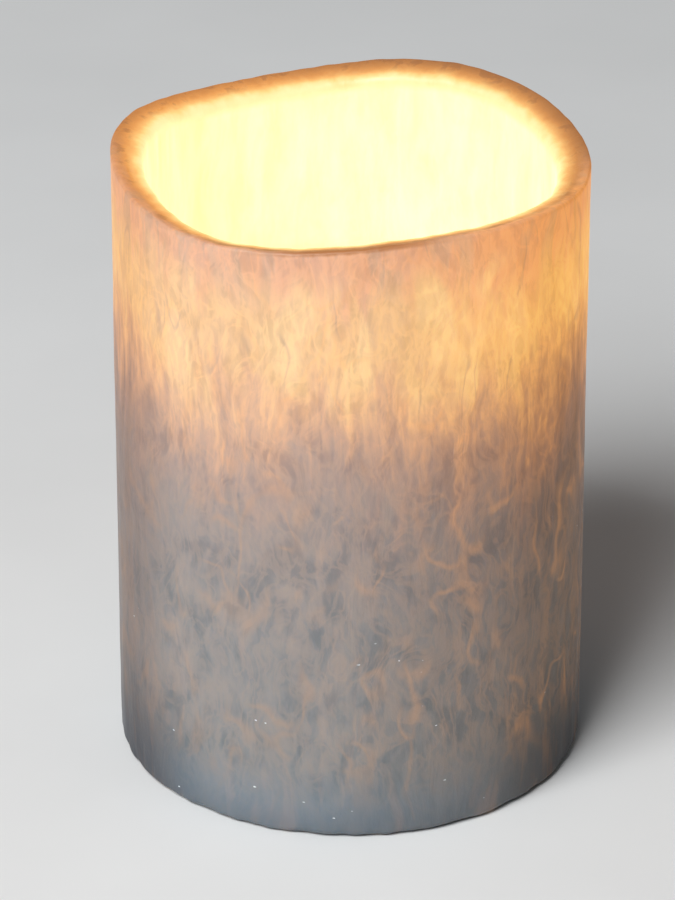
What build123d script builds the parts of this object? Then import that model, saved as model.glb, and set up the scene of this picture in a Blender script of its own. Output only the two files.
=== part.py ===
from build123d import *
from math import atan2, cos, degrees, radians
import os

# A flameless pillar candle: a hollow shell of real wax with a melted, wavy rim,
# and inside it a round plastic unit that holds two AA cells, a timer circuit and
# one LED under a small flame-shaped lens. Millimetres, +Z up. The origin is the
# middle of the flat ring of wax that the candle stands on.

# ---------------------------------------------------------------- driving sizes
candle_radius = 38.0
rim_mean = 102.8
rim_slope = 0.25
bowl_wall = 5.4
bowl_floor = 69.0
ledge_thickness = 4.0
floor_fillet = 4.0
base_edge_round = 1.2
pocket_radius = 29.0
lens_hole_radius = 6.5

unit_radius = 28.0
unit_wall = 1.6
plate_bottom = 1.5
plate_thickness = 2.0
unit_top = 62.2
cap_thickness = 1.6

cell_length = 50.5
cell_radius = 7.1
nub_length = 1.0
nub_radius = 2.75
cell_spacing = 8.15
cell_y = 5.0
low_cell_bottom = 4.5
high_cell_bottom = 7.0

tube_bore = 7.55
tube_wall = 1.2
tube_bottom = 4.0
rib_bottom = 7.0
rib_thickness = 1.4
rib_length = 14.0
rib_middle_y = 20.0
partition_bottom = 58.4
partition_thickness = 1.6

door_width = 34.0
door_front = -4.0
door_back = 15.2
door_thickness = 1.6
door_gap = 0.3
hinge_y = 14.0
hinge_z = 3.2
peg_radius = 0.9
peg_length = 1.5
peg_clearance = 0.05

board_bottom = 9.1
board_thickness = 1.6
board_length = 30.0
board_depth = 12.0
board_y = -14.0

switch_y = -14.0
switch_travel = 2.0
wire_radius = 0.6
wall_run_y = -17.0
contact_thickness = 0.4
spring_wire = 0.3

housing_boss_radius = 2.8
housing_boss_height = 18.0
housing_screw_radius = 1.0
housing_head_radius = 2.2
housing_head_height = 1.0
cap_boss_radius = 2.6
cap_boss_height = 12.0
cap_screw_radius = 0.8
cap_head_radius = 1.9
cap_head_height = 1.1
board_screw_radius = 0.85
board_head_radius = 1.7
board_head_height = 1.1
slot_depth = 0.5

# ----------------------------------------------------------------- worked out
plate_top = plate_bottom + plate_thickness
cap_top = unit_top + cap_thickness
ledge_bottom = bowl_floor - ledge_thickness
bowl_radius = candle_radius - bowl_wall
partition_top = partition_bottom + partition_thickness
board_top = board_bottom + board_thickness
door_top = plate_bottom + door_thickness
high_cell_top = high_cell_bottom + cell_length
low_cell_top = low_cell_bottom + cell_length
cell_centres = [(-cell_spacing, cell_y), (cell_spacing, cell_y)]
unit_screw_places = [(12, 21.3), (-12, 21.3), (-21, -12), (21, -12)]
cap_screw_places = [(20.5, 0), (-20.5, 0)]
board_screw_places = [(12.5, -10.5), (-12.5, -10.5)]

os.makedirs("parts", exist_ok=True)


def rim_height(angle, radius):
    """Height of the melted rim: three broad waves round it, sloping down inwards."""
    wave = 1.35 * cos(radians(3 * (angle - 54.5))) + 0.2 * cos(radians(4 * (angle + 11)))
    return rim_mean + wave - rim_slope * (candle_radius - radius)


def rim_curve(radius, points=36):
    """A closed curve that lies on the rim's surface, extended to this radius."""
    step = 360 / points
    turns = [step * number for number in range(points)]
    places = [Vector(radius, 0, 0).rotate(Axis.Z, turn) for turn in turns]
    return [(place.X, place.Y, rim_height(turn, radius)) for place, turn in zip(places, turns)]


# ------------------------------------------------------------------ wax shell
# The shell is turned to its profile, then everything above the wavy rim is cut off.
with BuildPart() as wax_shell:
    with BuildSketch(Plane.XZ):
        with BuildLine():
            Polyline(
                (pocket_radius, 0),
                (candle_radius, 0),
                (candle_radius, rim_mean + 5),
                (bowl_radius, rim_mean + 5),
                (bowl_radius, bowl_floor),
                (lens_hole_radius, bowl_floor),
                (lens_hole_radius, ledge_bottom),
                (pocket_radius, ledge_bottom),
                close=True,
            )
        make_face()
    revolve(axis=Axis.Z)
    foot_edge = wax_shell.edges().filter_by(GeomType.CIRCLE).group_by(Axis.Z)[0].sort_by(SortBy.RADIUS)[-1]
    fillet(foot_edge, radius=base_edge_round)
    floor_edges = wax_shell.edges().filter_by(GeomType.CIRCLE).filter_by(
        lambda edge: abs(edge.radius - bowl_radius) < 0.01
    )
    fillet(floor_edges.sort_by(Axis.Z)[0], radius=floor_fillet)
    with BuildLine(mode=Mode.PRIVATE) as inner_wave:
        Spline(rim_curve(bowl_radius - 12), periodic=True)
    with BuildLine(mode=Mode.PRIVATE) as outer_wave:
        Spline(rim_curve(candle_radius + 7), periodic=True)
    melted_top = Face.make_surface_from_curves(inner_wave.edges()[0], outer_wave.edges()[0])
    extrude(melted_top, amount=12, dir=(0, 0, 1), mode=Mode.SUBTRACT)
wax_shell.part.label = "wax_shell"
export_step(wax_shell.part, "parts/wax_shell.step")

# ------------------------------------------------------------------- adhesive
# Hot-melt glue: a ring under the wax ledge, and three short runs at the foot.
glue_ring_outer = 24.0
glue_ring_inner = 18.0
glue_run_turn = 40
glue_run_height = 5.0
with BuildPart() as top_adhesive:
    with BuildSketch(Plane.XY.offset(cap_top)):
        Circle(glue_ring_outer)
        Circle(glue_ring_inner, mode=Mode.SUBTRACT)
    extrude(amount=ledge_bottom - cap_top)
top_adhesive.part.label = "top_adhesive"
export_step(top_adhesive.part, "parts/top_adhesive.step")

with BuildPart() as foot_adhesive:
    with BuildSketch(Plane.XY.offset(plate_bottom)):
        for start in (70, 190, 310):
            with BuildLine():
                outer_arc = CenterArc((0, 0), pocket_radius, start, glue_run_turn)
                inner_arc = CenterArc((0, 0), unit_radius, start, glue_run_turn)
                Line(outer_arc @ 0, inner_arc @ 0)
                Line(outer_arc @ 1, inner_arc @ 1)
            make_face()
    extrude(amount=glue_run_height)
foot_adhesive.part.label = "foot_adhesive"
export_step(foot_adhesive.part, "parts/foot_adhesive.step")

# ----------------------------------------------------------------- base plate
# The round floor of the unit, with the battery opening, two bearing blocks for
# the door's pegs, the switch slot, four screw holes and two posts for the board.
opening_front = door_front - door_gap
opening_back = door_back + 4 * door_gap
opening_half = door_width / 2 + door_gap
bearing_height = 1.7
bearing_length = 3.0
bearing_depth = 4.0
post_radius = 2.2
with BuildPart() as base_plate:
    with BuildSketch(Plane.XY.offset(plate_bottom)):
        Circle(unit_radius)
    extrude(amount=plate_thickness)
    chamfer(base_plate.edges().group_by(Axis.Z)[0], length=0.5)
    with BuildSketch(Plane.XY.offset(plate_bottom)):
        with Locations((0, (opening_front + opening_back) / 2)):
            Rectangle(2 * opening_half, opening_back - opening_front)
        with Locations((0, opening_front)):
            SlotOverall(12.0, 3.2)
        with Locations((0, switch_y)):
            SlotOverall(2 * switch_travel + 4.0, 3.0)
    extrude(amount=plate_thickness, mode=Mode.SUBTRACT)
    with BuildSketch(Plane.XY.offset(plate_bottom)):
        with Locations((0, switch_y)):
            SlotOverall(13.0, 6.0)
    extrude(amount=0.7, mode=Mode.SUBTRACT)
    for side in (-1, 1):
        with BuildSketch(Plane.XY.offset(plate_top)):
            with Locations((side * (opening_half + bearing_length / 2), hinge_y)):
                Rectangle(bearing_length, bearing_depth)
        extrude(amount=bearing_height)
    bearing_plane = Plane(origin=(0, hinge_y, hinge_z), x_dir=(0, 1, 0), z_dir=(1, 0, 0))
    with BuildSketch(bearing_plane):
        Circle(peg_radius + peg_clearance)
    extrude(amount=opening_half + peg_length - 0.2, both=True, mode=Mode.SUBTRACT)
    with BuildSketch(Plane.XY.offset(plate_top)):
        with Locations(*board_screw_places):
            Circle(post_radius)
    extrude(amount=board_bottom - plate_top)
    with BuildSketch(Plane.XY.offset(plate_top + 1.0)):
        with Locations(*board_screw_places):
            Circle(board_screw_radius)
    extrude(amount=board_bottom - plate_top - 1.0, mode=Mode.SUBTRACT)
    with Locations(*[Location((x, y, plate_bottom), (180, 0, 0)) for x, y in unit_screw_places]):
        CounterBoreHole(radius=1.3, counter_bore_radius=2.4, counter_bore_depth=1.1, depth=plate_thickness + 1)
base_plate.part.label = "base_plate"
export_step(base_plate.part, "parts/base_plate.step")

# --------------------------------------------------------------- unit housing
# One moulding: the round wall, two battery tubes, the partition over them, a rib
# to the back wall and the bosses that the screws bite into. The rib stops short of
# the floor, so that the door's back edge has room to swing up under it.
with BuildPart() as unit_housing:
    with BuildSketch(Plane.XY.offset(plate_top)):
        Circle(unit_radius)
        Circle(unit_radius - unit_wall, mode=Mode.SUBTRACT)
    extrude(amount=unit_top - plate_top)
    with BuildSketch(Plane.XY.offset(partition_bottom)):
        Circle(unit_radius - unit_wall / 2)
    extrude(amount=partition_thickness)
    with BuildSketch(Plane.XY.offset(tube_bottom)):
        with Locations(*cell_centres):
            Circle(tube_bore + tube_wall)
    extrude(amount=partition_bottom - tube_bottom)
    with BuildSketch(Plane.XY.offset(rib_bottom)):
        with Locations((0, rib_middle_y)):
            Rectangle(rib_thickness, rib_length)
    extrude(amount=partition_bottom - rib_bottom)
    with BuildSketch(Plane.XY.offset(plate_top)):
        with Locations(*unit_screw_places):
            Circle(housing_boss_radius)
    extrude(amount=housing_boss_height)
    with BuildSketch(Plane.XY.offset(unit_top - cap_boss_height)):
        with Locations(*cap_screw_places):
            Circle(cap_boss_radius)
    extrude(amount=cap_boss_height)
    with BuildSketch(Plane.XY.offset(plate_top)):
        with Locations(*cell_centres):
            Circle(tube_bore)
    extrude(amount=partition_bottom - plate_top, mode=Mode.SUBTRACT)
    with BuildSketch(Plane.XY.offset(plate_top)):
        with Locations(*unit_screw_places):
            Circle(housing_screw_radius)
    extrude(amount=housing_boss_height - 4.0, mode=Mode.SUBTRACT)
    with BuildSketch(Plane.XY.offset(unit_top)):
        with Locations(*cap_screw_places):
            Circle(cap_screw_radius)
    extrude(amount=4.0 - cap_boss_height, mode=Mode.SUBTRACT)
    with BuildSketch(Plane.XY.offset(partition_bottom)):
        with Locations((0, wall_run_y + 0.4)):
            SlotOverall(20.0, 7.0)
        with Locations((-cell_spacing, cell_y - 4.5), (cell_spacing, cell_y - 4.5)):
            Rectangle(3.4, 1.0)
    extrude(amount=partition_thickness, mode=Mode.SUBTRACT)
unit_housing.part.label = "unit_housing"
export_step(unit_housing.part, "parts/unit_housing.step")

# ------------------------------------------------------------------- unit cap
led_leg_x = 1.27
led_leg_hole = 0.45
with BuildPart() as unit_cap:
    with BuildSketch(Plane.XY.offset(unit_top)):
        Circle(unit_radius)
    extrude(amount=cap_thickness)
    chamfer(unit_cap.edges().group_by(Axis.Z)[-1], length=0.4)
    with BuildSketch(Plane.XY.offset(unit_top)):
        Circle(unit_radius - unit_wall - 0.2)
        Circle(unit_radius - unit_wall - 1.2, mode=Mode.SUBTRACT)
        with Locations(*cap_screw_places):
            Rectangle(12.4, 6.4, mode=Mode.SUBTRACT)
    extrude(amount=-0.8)
    with BuildSketch(Plane.XY.offset(unit_top)):
        with Locations((led_leg_x, 0), (-led_leg_x, 0)):
            Circle(led_leg_hole)
    extrude(amount=cap_thickness, mode=Mode.SUBTRACT)
    with Locations(*[(x, y, cap_top) for x, y in cap_screw_places]):
        CounterSinkHole(radius=1.1, counter_sink_radius=2.1, depth=cap_thickness)
unit_cap.part.label = "unit_cap"
export_step(unit_cap.part, "parts/unit_cap.step")

# --------------------------------------------------------------------- screws
# Pan heads under the base plate, countersunk heads in the cap, small pan heads on
# the board. Each has a cross recess.
housing_head_bottom = plate_bottom + 0.1
with BuildPart() as housing_screws:
    with BuildSketch(Plane.XY.offset(housing_head_bottom)):
        with Locations(*unit_screw_places):
            Circle(housing_head_radius)
    extrude(amount=housing_head_height)
    chamfer(housing_screws.edges().group_by(Axis.Z)[0], length=0.3)
    with BuildSketch(Plane.XY.offset(housing_head_bottom + housing_head_height)):
        with Locations(*unit_screw_places):
            Circle(housing_screw_radius)
    extrude(amount=10.0)
    with BuildSketch(Plane.XY.offset(housing_head_bottom)):
        with Locations(*unit_screw_places):
            Rectangle(2.4, 0.5)
            Rectangle(0.5, 2.4)
    extrude(amount=slot_depth, mode=Mode.SUBTRACT)
housing_screws.part.label = "housing_screws"
export_step(housing_screws.part, "parts/housing_screws.step")

with BuildPart() as cap_screws:
    for x, y in cap_screw_places:
        with BuildSketch(Plane.XY.offset(cap_top)):
            with Locations((x, y)):
                Circle(cap_head_radius)
        with BuildSketch(Plane.XY.offset(cap_top - cap_head_height)):
            with Locations((x, y)):
                Circle(cap_screw_radius)
        loft()
    with BuildSketch(Plane.XY.offset(cap_top - cap_head_height)):
        with Locations(*cap_screw_places):
            Circle(cap_screw_radius)
    extrude(amount=-6.0)
    with BuildSketch(Plane.XY.offset(cap_top)):
        with Locations(*cap_screw_places):
            Rectangle(2.0, 0.45)
            Rectangle(0.45, 2.0)
    extrude(amount=-slot_depth, mode=Mode.SUBTRACT)
cap_screws.part.label = "cap_screws"
export_step(cap_screws.part, "parts/cap_screws.step")

with BuildPart() as board_screws:
    with BuildSketch(Plane.XY.offset(board_top)):
        with Locations(*board_screw_places):
            Circle(board_head_radius)
    extrude(amount=board_head_height)
    chamfer(board_screws.edges().group_by(Axis.Z)[-1], length=0.3)
    with BuildSketch(Plane.XY.offset(board_top)):
        with Locations(*board_screw_places):
            Circle(board_screw_radius)
    extrude(amount=-5.0)
    with BuildSketch(Plane.XY.offset(board_top + board_head_height)):
        with Locations(*board_screw_places):
            Rectangle(1.9, 0.4)
            Rectangle(0.4, 1.9)
    extrude(amount=-slot_depth, mode=Mode.SUBTRACT)
board_screws.part.label = "board_screws"
export_step(board_screws.part, "parts/board_screws.step")

# ----------------------------------------------------------- lens, LED, holder
# The lens is a hollow flame that stands through the wax ledge; the LED sits in it.
flame_tip = 83.5
lens_wall = 1.0
lens_foot_radius = 6.0
with BuildPart() as flame_lens:
    with BuildSketch(Plane.XZ):
        with BuildLine():
            Line((lens_foot_radius - lens_wall, cap_top), (lens_foot_radius, cap_top))
            Line((lens_foot_radius, cap_top), (lens_foot_radius, bowl_floor + 0.6))
            Spline(
                (lens_foot_radius, bowl_floor + 0.6),
                (lens_foot_radius + 0.25, bowl_floor + 3.6),
                (lens_foot_radius - 1.9, bowl_floor + 8.6),
                (0, flame_tip),
                tangents=[(0, 1), (-1, 1.3)],
            )
            Line((0, flame_tip), (0, flame_tip - 3.2))
            Spline(
                (0, flame_tip - 3.2),
                (lens_foot_radius - 2.9, bowl_floor + 7.6),
                (lens_foot_radius - 0.8, bowl_floor + 3.2),
                (lens_foot_radius - lens_wall, bowl_floor + 0.6),
                tangents=[(1, -0.8), (0, -1)],
            )
            Line((lens_foot_radius - lens_wall, bowl_floor + 0.6), (lens_foot_radius - lens_wall, cap_top))
        make_face()
    revolve(axis=Axis.Z)
flame_lens.part.label = "flame_lens"
export_step(flame_lens.part, "parts/flame_lens.step")

holder_radius = 4.7
holder_height = 2.6
led_seat = cap_top + 1.2
led_radius = 2.5
led_flange_radius = 2.9
with BuildPart() as led_holder:
    with BuildSketch(Plane.XY.offset(cap_top)):
        Circle(holder_radius)
        with Locations((led_leg_x, 0), (-led_leg_x, 0)):
            Circle(led_leg_hole, mode=Mode.SUBTRACT)
    extrude(amount=holder_height)
    with BuildSketch(Plane.XY.offset(led_seat)):
        Circle(led_flange_radius + 0.1)
    extrude(amount=holder_height, mode=Mode.SUBTRACT)
led_holder.part.label = "led_holder"
export_step(led_holder.part, "parts/led_holder.step")

led_body_top = led_seat + 6.1
with BuildPart() as led:
    with BuildSketch(Plane.XZ):
        with BuildLine():
            Polyline(
                (0, led_seat),
                (led_flange_radius, led_seat),
                (led_flange_radius, led_seat + 1.0),
                (led_radius, led_seat + 1.0),
                (led_radius, led_body_top),
            )
            CenterArc((0, led_body_top), led_radius, 0, 90)
            Line((0, led_body_top + led_radius), (0, led_seat))
        make_face()
    revolve(axis=Axis.Z)
led.part.label = "led"
export_step(led.part, "parts/led.step")

led_leg_end = partition_top + 0.3
with BuildPart() as led_legs:
    with BuildSketch(Plane.XY.offset(led_leg_end)):
        with Locations((led_leg_x, 0), (-led_leg_x, 0)):
            Rectangle(0.5, 0.5)
    extrude(amount=led_seat - led_leg_end)
led_legs.part.label = "led_legs"
export_step(led_legs.part, "parts/led_legs.step")

# ---------------------------------------------------------------- timer board
switch_pin_places = [(x, switch_y + y) for x in (-3, -1, 1, 3) for y in (-1.9, 1.9)]
with BuildPart() as timer_board:
    with BuildSketch(Plane.XY.offset(board_bottom)):
        with Locations((0, board_y)):
            RectangleRounded(board_length, board_depth, 1.0)
        with Locations(*board_screw_places):
            Circle(1.0, mode=Mode.SUBTRACT)
        with Locations(*switch_pin_places):
            Circle(0.45, mode=Mode.SUBTRACT)
    extrude(amount=board_thickness)
timer_board.part.label = "timer_board"
export_step(timer_board.part, "parts/timer_board.step")

chip_x = 8.4
chip_y = -15.2
chip_lift = 0.15
chip_length = 4.9
chip_width = 3.9
leg_pitch = 1.27
with BuildPart() as timer_chip:
    with BuildSketch(Plane.XY.offset(board_top + chip_lift)):
        with Locations((chip_x, chip_y)):
            Rectangle(chip_length, chip_width)
    extrude(amount=1.4)
    chamfer(timer_chip.edges().group_by(Axis.Z)[-1], length=0.25)
timer_chip.part.label = "timer_chip"
export_step(timer_chip.part, "parts/timer_chip.step")

with BuildPart() as chip_legs:
    for side in (-1, 1):
        inner_y = chip_y + side * chip_width / 2
        with BuildSketch(Plane.XY.offset(board_top)):
            with Locations((chip_x, inner_y + side * 0.65)):
                with GridLocations(leg_pitch, 1.0, 4, 1):
                    Rectangle(0.4, 0.7)
        extrude(amount=0.2)
        with BuildSketch(Plane.XY.offset(board_top)):
            with Locations((chip_x, inner_y + side * 0.25)):
                with GridLocations(leg_pitch, 1.0, 4, 1):
                    Rectangle(0.4, 0.3)
        extrude(amount=0.9)
        with BuildSketch(Plane.XY.offset(board_top + 0.7)):
            with Locations((chip_x, inner_y + side * 0.2)):
                with GridLocations(leg_pitch, 1.0, 4, 1):
                    Rectangle(0.4, 0.4)
        extrude(amount=0.2)
chip_legs.part.label = "chip_legs"
export_step(chip_legs.part, "parts/chip_legs.step")

crystal_radius = 1.05
crystal_length = 5.6
with BuildPart() as timing_crystal:
    crystal_start = (-12.0, -17.6, board_top + crystal_radius)
    with BuildSketch(Plane(origin=crystal_start, x_dir=(0, 1, 0), z_dir=(1, 0, 0))):
        Circle(crystal_radius)
    extrude(amount=crystal_length)
    fillet(timing_crystal.edges().group_by(Axis.X)[0], radius=0.3)
timing_crystal.part.label = "timing_crystal"
export_step(timing_crystal.part, "parts/timing_crystal.step")

with BuildPart() as board_capacitor:
    with BuildSketch(Plane.XY.offset(board_top)):
        with Locations((-8.4, -13.4)):
            Circle(2.0)
    extrude(amount=5.0)
    fillet(board_capacitor.edges().group_by(Axis.Z)[-1], radius=0.4)
board_capacitor.part.label = "board_capacitor"
export_step(board_capacitor.part, "parts/board_capacitor.step")

with BuildPart() as board_resistors:
    with BuildSketch(Plane.XY.offset(board_top)):
        with Locations((4.6, -9.6), (7.6, -9.6), (1.4, -9.6)):
            Rectangle(2.0, 1.25)
    extrude(amount=0.5)
board_resistors.part.label = "board_resistors"
export_step(board_resistors.part, "parts/board_resistors.step")

# --------------------------------------------------------------- slide switch
# A three-position switch: the knob slides along X, off at one end, timer at the other.
can_bottom = board_bottom - 4.5
track_bottom = can_bottom + 0.4
track_height = 1.8
slider_length = 5.0
stem_width = 2.4
can_half = slider_length / 2 + switch_travel + 0.3
with BuildPart() as switch_can:
    with BuildSketch(Plane.XY.offset(can_bottom)):
        with Locations((0, switch_y)):
            Rectangle(12.7, 6.6)
    extrude(amount=board_bottom - can_bottom)
    chamfer(switch_can.edges().filter_by(Axis.Z), length=0.3)
    with BuildSketch(Plane.XY.offset(can_bottom)):
        with Locations((0, switch_y)):
            Rectangle(2 * (stem_width / 2 + switch_travel + 0.3), stem_width + 0.6)
    extrude(amount=track_bottom - can_bottom, mode=Mode.SUBTRACT)
    with BuildSketch(Plane.XY.offset(track_bottom)):
        with Locations((0, switch_y)):
            Rectangle(2 * can_half, 3.8)
    extrude(amount=track_height, mode=Mode.SUBTRACT)
switch_can.part.label = "switch_can"
export_step(switch_can.part, "parts/switch_can.step")

with BuildPart() as switch_pins:
    with BuildSketch(Plane.XY.offset(board_bottom)):
        with Locations(*switch_pin_places):
            Circle(0.4)
    extrude(amount=board_thickness + 0.9)
switch_pins.part.label = "switch_pins"
export_step(switch_pins.part, "parts/switch_pins.step")

knob_bottom = 0.5
with BuildPart() as switch_knob:
    with BuildSketch(Plane.XY.offset(track_bottom + 0.2)):
        with Locations((0, switch_y)):
            Rectangle(slider_length, 3.2)
    extrude(amount=track_height - 0.4)
    with BuildSketch(Plane.XY.offset(knob_bottom)):
        with Locations((0, switch_y)):
            Rectangle(stem_width, stem_width)
    extrude(amount=track_bottom + 0.2 - knob_bottom)
    chamfer(switch_knob.edges().group_by(Axis.Z)[0], length=0.3)
    with BuildSketch(Plane.XY.offset(knob_bottom)):
        with Locations((0, switch_y)):
            with GridLocations(0.8, 1.0, 2, 1):
                Rectangle(0.3, stem_width)
    extrude(amount=0.3, mode=Mode.SUBTRACT)
switch_knob.part.label = "switch_knob"
export_step(switch_knob.part, "parts/switch_knob.step")

# ------------------------------------------------------------------- AA cells
# The left cell stands nub up, the right one nub down, so that they are in series.


def aa_cell(x, y, bottom, nub_up):
    """One AA cell: a can with rounded ends, an insulating groove and the nub."""
    along = 1 if nub_up else -1
    start = bottom if nub_up else bottom + cell_length
    can_length = cell_length - nub_length
    plane = Plane(origin=(x, y, start), x_dir=(1, 0, 0), z_dir=(0, 0, along))
    with BuildPart() as cell:
        with BuildSketch(plane):
            Circle(cell_radius)
        extrude(amount=can_length)
        fillet(cell.edges().filter_by(GeomType.CIRCLE), radius=0.5)
        with BuildSketch(plane.offset(can_length)):
            Circle(5.6)
            Circle(3.6, mode=Mode.SUBTRACT)
        extrude(amount=-0.5, mode=Mode.SUBTRACT)
        with BuildSketch(plane.offset(can_length)):
            Circle(nub_radius)
        extrude(amount=nub_length)
    return cell


aa_cell_left = aa_cell(-cell_spacing, cell_y, high_cell_bottom, True)
aa_cell_left.part.label = "aa_cell_left"
export_step(aa_cell_left.part, "parts/aa_cell_left.step")

aa_cell_right = aa_cell(cell_spacing, cell_y, low_cell_bottom, False)
aa_cell_right.part.label = "aa_cell_right"
export_step(aa_cell_right.part, "parts/aa_cell_right.step")

# ----------------------------------------------------------- battery contacts
# Above the cells: a plate with a dimple for the left cell's nub, and a plate with a
# spring for the right cell's flat end. Each has a tab that comes up through the
# partition, where its wire is soldered.
top_plate_z = partition_bottom - contact_thickness
plate_width = 8.0
tab_width = 3.0
tab_y = cell_y - 4.5
tab_top = partition_top + 1.6
dimple_radius = 2.2
touch_gap = 0.05
spring_turns = 3
spring_narrow = 2.4
spring_wide = 3.8


def contact_plate(x, dimple_height):
    """A flat plate under the partition with its solder tab, and a dimple if it has one."""
    with BuildPart() as plate:
        with BuildSketch(Plane.XY.offset(top_plate_z)):
            with Locations((x, cell_y)):
                Rectangle(plate_width, 9.4)
        extrude(amount=contact_thickness)
        with BuildSketch(Plane.XY.offset(partition_bottom)):
            with Locations((x, tab_y)):
                Rectangle(tab_width, contact_thickness)
        extrude(amount=tab_top - partition_bottom)
        if dimple_height > 0:
            with BuildSketch(Plane.XY.offset(top_plate_z)):
                with Locations((x, cell_y)):
                    Circle(dimple_radius)
            extrude(amount=-dimple_height, taper=20)
    return plate


def coil_spring(x, cell_end, plate_end):
    """A conical spring of round wire, narrow where it meets the cell, wide at its plate."""
    along = 1 if plate_end > cell_end else -1
    rise = abs(plate_end - cell_end) - 2 * spring_wire
    with BuildPart() as spring:
        with BuildLine():
            coil = Helix(
                pitch=rise / spring_turns,
                height=rise,
                radius=spring_narrow,
                center=(x, cell_y, cell_end + along * spring_wire),
                direction=(0, 0, along),
                cone_angle=degrees(atan2(spring_wide - spring_narrow, rise)),
            )
        with BuildSketch(Plane(origin=coil @ 0, z_dir=coil % 0)):
            Circle(spring_wire)
        sweep(is_frenet=True)
    return spring


positive_contact = contact_plate(-cell_spacing, top_plate_z - high_cell_top - touch_gap)
positive_contact.part.label = "positive_contact"
export_step(positive_contact.part, "parts/positive_contact.step")

negative_contact = contact_plate(cell_spacing, 0)
negative_contact.part.label = "negative_contact"
export_step(negative_contact.part, "parts/negative_contact.step")

negative_spring = coil_spring(cell_spacing, low_cell_top, top_plate_z)
negative_spring.part.label = "negative_spring"
export_step(negative_spring.part, "parts/negative_spring.step")

# --------------------------------------------------------------- battery door
# The door hangs on two pegs at its back edge. Its front edge has a springy thumb
# tab between two slits. The strip that joins the two cells is fixed on top of it.
lug_inset = 3.0
tab_half = 4.6
with BuildPart() as battery_door:
    with BuildSketch(Plane.XY.offset(plate_bottom)):
        with Locations((0, (door_front + door_back) / 2)):
            RectangleRounded(door_width, door_back - door_front, 0.8)
        with Locations((0, door_front)):
            SlotOverall(2 * tab_half, 2.2)
        with Locations((-tab_half - 0.4, door_front + 2.5), (tab_half + 0.4, door_front + 2.5)):
            Rectangle(0.8, 5.2, mode=Mode.SUBTRACT)
    extrude(amount=door_thickness)
    with BuildSketch(Plane.XY.offset(plate_bottom)):
        with Locations((0, door_front + 1.2)):
            with GridLocations(1.0, 1.0, 1, 3):
                Rectangle(6.0, 0.4)
    extrude(amount=0.4, mode=Mode.SUBTRACT)
    for side in (-1, 1):
        lug_start = side * (door_width / 2 - lug_inset)
        lug_plane = Plane(origin=(lug_start, hinge_y, hinge_z), x_dir=(0, side, 0), z_dir=(side, 0, 0))
        with BuildSketch(lug_plane):
            Circle(1.0)
            with Locations((0, -0.5 * (hinge_z - door_top + 0.4))):
                Rectangle(2.0, hinge_z - door_top + 0.4)
        extrude(amount=lug_inset)
        with BuildSketch(lug_plane.offset(lug_inset)):
            Circle(peg_radius)
        extrude(amount=door_gap + peg_length - 0.4)
battery_door.part.label = "battery_door"
export_step(battery_door.part, "parts/battery_door.step")

bridge_top = door_top + contact_thickness
with BuildPart() as bridge_contact:
    with BuildSketch(Plane.XY.offset(door_top)):
        with Locations((0, cell_y)):
            RectangleRounded(26.0, 8.0, 1.0)
    extrude(amount=contact_thickness)
    with BuildSketch(Plane.XY.offset(bridge_top)):
        with Locations((cell_spacing, cell_y)):
            Circle(dimple_radius)
    extrude(amount=low_cell_bottom - touch_gap - bridge_top, taper=30)
bridge_contact.part.label = "bridge_contact"
export_step(bridge_contact.part, "parts/bridge_contact.step")

door_spring = coil_spring(-cell_spacing, high_cell_bottom - touch_gap, bridge_top)
door_spring.part.label = "door_spring"
export_step(door_spring.part, "parts/door_spring.step")

# --------------------------------------------------------------------- wires
# Four wires run over the partition, down the front of the unit and onto the board.
wire_z = partition_top + 0.3 + wire_radius
pad_z = board_top + 0.05


def wire_run(start, over_x, slack_y, pad):
    """One insulated wire, swept from its soldered end to its pad on the board."""
    corners = [start, (over_x, wall_run_y, wire_z), (over_x, slack_y, 36.0), pad]
    with BuildPart() as wire:
        with BuildLine() as route:
            FilletPolyline(*corners, radius=[4.5, 40.0])
        with BuildSketch(Plane(origin=route.line @ 0, z_dir=route.line % 0)):
            Circle(wire_radius)
        sweep(path=route.line)
    return wire


red_cell_wire = wire_run((-cell_spacing, tab_y - 0.5, wire_z), -5.6, -16.2, (-4.2, -17.4, pad_z))
red_cell_wire.part.label = "red_cell_wire"
export_step(red_cell_wire.part, "parts/red_cell_wire.step")

black_cell_wire = wire_run((cell_spacing, tab_y - 0.5, wire_z), 5.6, -17.9, (4.2, -16.8, pad_z))
black_cell_wire.part.label = "black_cell_wire"
export_step(black_cell_wire.part, "parts/black_cell_wire.step")

red_led_wire = wire_run((-led_leg_x, -0.25, wire_z), -1.9, -17.9, (-1.6, -18.6, pad_z))
red_led_wire.part.label = "red_led_wire"
export_step(red_led_wire.part, "parts/red_led_wire.step")

black_led_wire = wire_run((led_leg_x, -0.25, wire_z), 1.9, -16.2, (1.4, -18.4, pad_z))
black_led_wire.part.label = "black_led_wire"
export_step(black_led_wire.part, "parts/black_led_wire.step")
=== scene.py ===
# %% [markdown]
# # A flameless candle in real wax
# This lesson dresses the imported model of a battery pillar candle: a hollow shell of
# crystalline wax with a melted rim, lit from inside by one warm LED.
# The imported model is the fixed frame. Everything made here sits in it, in metres.

from math import cos, exp, pi, radians, sin, sqrt

import bpy
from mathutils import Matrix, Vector, noise


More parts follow.
